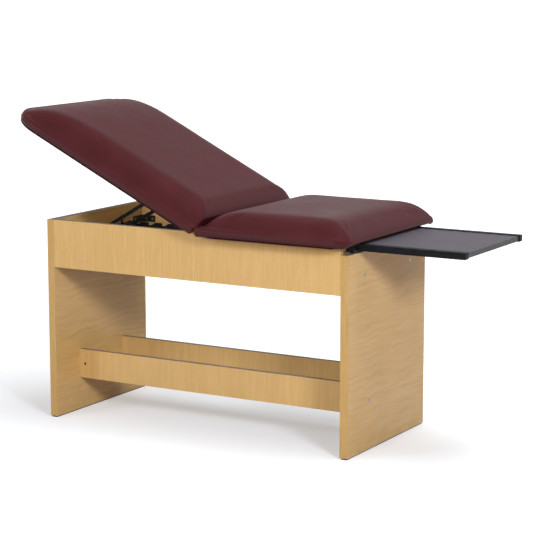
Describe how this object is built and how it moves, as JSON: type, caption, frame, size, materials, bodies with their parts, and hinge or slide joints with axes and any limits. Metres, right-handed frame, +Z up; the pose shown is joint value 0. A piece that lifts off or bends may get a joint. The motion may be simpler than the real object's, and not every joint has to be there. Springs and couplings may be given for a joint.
{
  "type": "medical examination table",
  "caption": "Panel-legged examination couch with padded seat, propped lifting backrest and a slide-out leg rest.",
  "frame": {"origin": "on the floor under the middle of the overall length and width, with the backrest raised to its pictured notch and the leg rest drawn out", "axes": "+X along the couch towards its foot end, +Y to the rear side, +Z up"},
  "size_m": [1.6814, 0.69, 1.1073],
  "materials": {
    "maple_laminate": "maple-pattern laminate on particle board, satin",
    "edge_banding": "plastic edge banding, satin",
    "raw_board": "bare particle board",
    "plywood": "bare board, dull",
    "zinc_steel": "zinc-plated steel",
    "black_steel": "black powder coat on steel",
    "hinge_steel": "plated steel",
    "vinyl": "burgundy upholstery vinyl, fine grain, satin",
    "foam": "polyurethane foam under the vinyl",
    "black_plastic": "black plastic",
    "grey_laminate": "dark grey laminate, satin",
    "black_rail": "black coated aluminium channel",
    "grey_edge": "dark grey edge banding"
  },
  "bodies": {
    "frame": {"barrel_nuts": "zinc_steel", "cleat_seat_screws": "zinc_steel", "cleat_wall_screws": "zinc_steel", "corner_bracket_screws": "zinc_steel", "corner_brackets": "zinc_steel", "cross_rail_bolts": "zinc_steel", "cross_rail_dowels": "raw_board", "cross_rail_inserts": "zinc_steel", "foot_cross_rail": "raw_board", "foot_panel": "maple_laminate", "foot_panel_edge_bands": "edge_banding", "foot_panel_floor_strip": "black_plastic", "front_apron": "maple_laminate", "front_leg_rest_guide": "black_plastic", "front_rack": "black_steel", "front_seat_cleat": "raw_board", "front_stretcher": "maple_laminate", "guide_screws": "zinc_steel", "head_cross_rail": "raw_board", "head_panel": "maple_laminate", "head_panel_edge_bands": "edge_banding", "head_panel_floor_strip": "black_plastic", "hinge_pins": "hinge_steel", "middle_cross_rail": "raw_board", "rack_screws": "zinc_steel", "rear_apron": "maple_laminate", "rear_leg_rest_guide": "black_plastic", "rear_rack": "black_steel", "rear_seat_cleat": "raw_board", "rear_stretcher": "maple_laminate", "seat_board": "plywood", "seat_cover": "vinyl", "seat_foam": "foam", "seat_hinge_leaves": "hinge_steel", "seat_hinge_screws": "zinc_steel", "seat_stop": "raw_board", "seat_stop_screws": "zinc_steel", "stretcher_bolts": "zinc_steel"},
    "backrest": {"backrest_board": "plywood", "backrest_foam": "foam", "backrest_cover": "vinyl", "backrest_hinge_leaves": "hinge_steel", "backrest_hinge_screws": "zinc_steel", "pivot_brackets": "black_steel", "pivot_bracket_screws": "zinc_steel", "pivot_pins": "black_steel"},
    "prop": {"front_prop_arm": "black_steel", "rear_prop_arm": "black_steel", "prop_rod": "black_steel"},
    "leg_rest": {"leg_rest_board": "raw_board", "leg_rest_laminate": "grey_laminate", "leg_rest_edge_band": "grey_edge", "front_leg_rest_rail": "black_rail", "rear_leg_rest_rail": "black_rail", "front_leg_rest_cap": "black_plastic", "rear_leg_rest_cap": "black_plastic", "leg_rest_stop": "raw_board", "leg_rest_stop_screws": "zinc_steel"}
  },
  "joints": [
    {"name": "backrest_tilt", "type": "hinge", "parent": "frame", "child": "backrest", "pos_m": [-0.0983, 0, 0.728], "axis": [0, 1, 0], "range_deg": [-26, 34]},
    {"name": "prop_swing", "type": "hinge", "parent": "backrest", "child": "prop", "pos_m": [-0.35232, 0, 0.81852], "axis": [0, -1, 0], "range_deg": [-50, 65]},
    {"name": "leg_rest_slide", "type": "slide", "parent": "frame", "child": "leg_rest", "axis": [1, 0, 0], "range_m": [-0.363, 0]}
  ],
  "couplings": [
    {"joint": "prop_swing", "follows": "backrest_tilt", "ratio": 1.8971}
  ]
}
